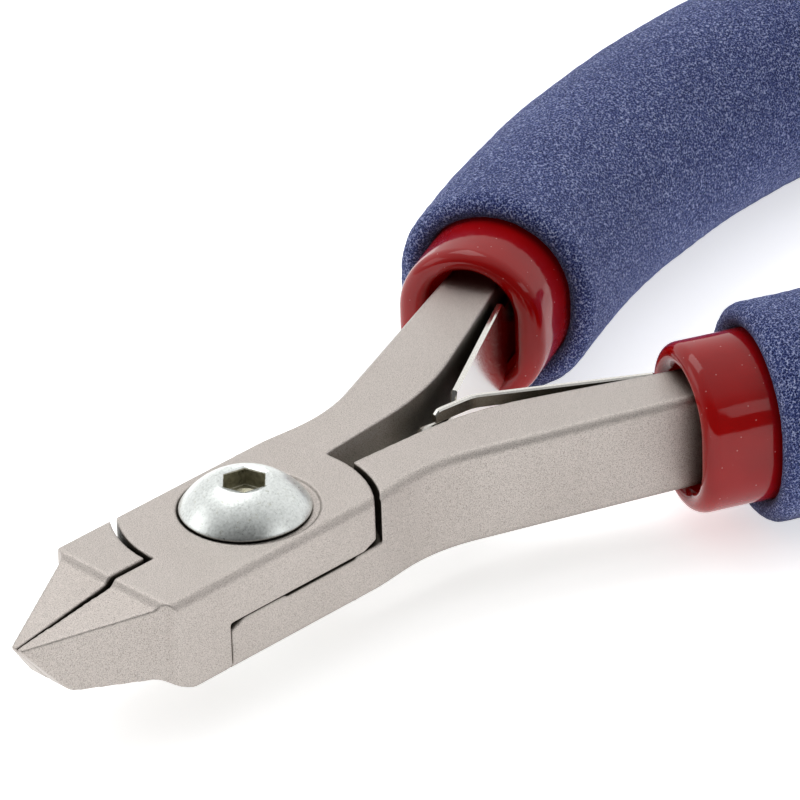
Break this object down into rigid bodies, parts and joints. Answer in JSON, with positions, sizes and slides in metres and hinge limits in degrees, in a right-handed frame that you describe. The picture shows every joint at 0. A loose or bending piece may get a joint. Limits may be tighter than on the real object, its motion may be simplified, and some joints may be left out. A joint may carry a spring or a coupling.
{
  "type": "flush cut pliers",
  "caption": "Precision cutting pliers with a lapped screw joint, short tapered jaws, crossed leaf springs and long foam-sleeved bow handles.",
  "frame": {"origin": "on the pivot screw's axis, at mid-thickness of the lapped joint", "axes": "+X towards the cutting tip, +Z along the pivot axis to the screw head, +Y to the side of the upper half's jaw and the lower half's handle"},
  "size_m": [0.143, 0.061, 0.0172],
  "materials": {
    "satin_steel": "fine bead-blasted satin",
    "zinc_plate": "bright zinc plate, slightly satin",
    "spring_steel": "bright rolled strip",
    "rivet_steel": "satin",
    "red_vinyl": "glossy dipped vinyl",
    "blue_foam": "matte fine-celled foam rubber"
  },
  "bodies": {
    "upper": {"upper_half": "satin_steel", "tongued_spring_rivet": "rivet_steel", "upper_grip_liner": "red_vinyl", "upper_foam_sleeve": "blue_foam"},
    "lower": {"lower_half": "satin_steel", "pivot_screw": "zinc_plate", "forked_spring_rivet": "rivet_steel", "lower_grip_liner": "red_vinyl", "lower_foam_sleeve": "blue_foam"},
    "upper_leaf": {"tongued_spring": "spring_steel"},
    "lower_leaf": {"forked_spring": "spring_steel"}
  },
  "joints": [
    {"name": "jaw_pivot", "type": "hinge", "parent": "upper", "child": "lower", "pos_m": [0, 0, 0], "axis": [0, 0, -1], "range_deg": [0, 12]},
    {"name": "lower_leaf_flex", "type": "hinge", "parent": "lower", "child": "lower_leaf", "pos_m": [-0.04123, 0.01139, 0], "axis": [0, 0, -1], "range_deg": [0, 8]},
    {"name": "upper_leaf_flex", "type": "hinge", "parent": "upper", "child": "upper_leaf", "pos_m": [-0.04123, -0.01139, 0], "axis": [0, 0, 1], "range_deg": [0, 8]}
  ],
  "couplings": [
    {"joint": "lower_leaf_flex", "follows": "jaw_pivot", "ratio": 0.65},
    {"joint": "upper_leaf_flex", "follows": "jaw_pivot", "ratio": 0.65}
  ]
}
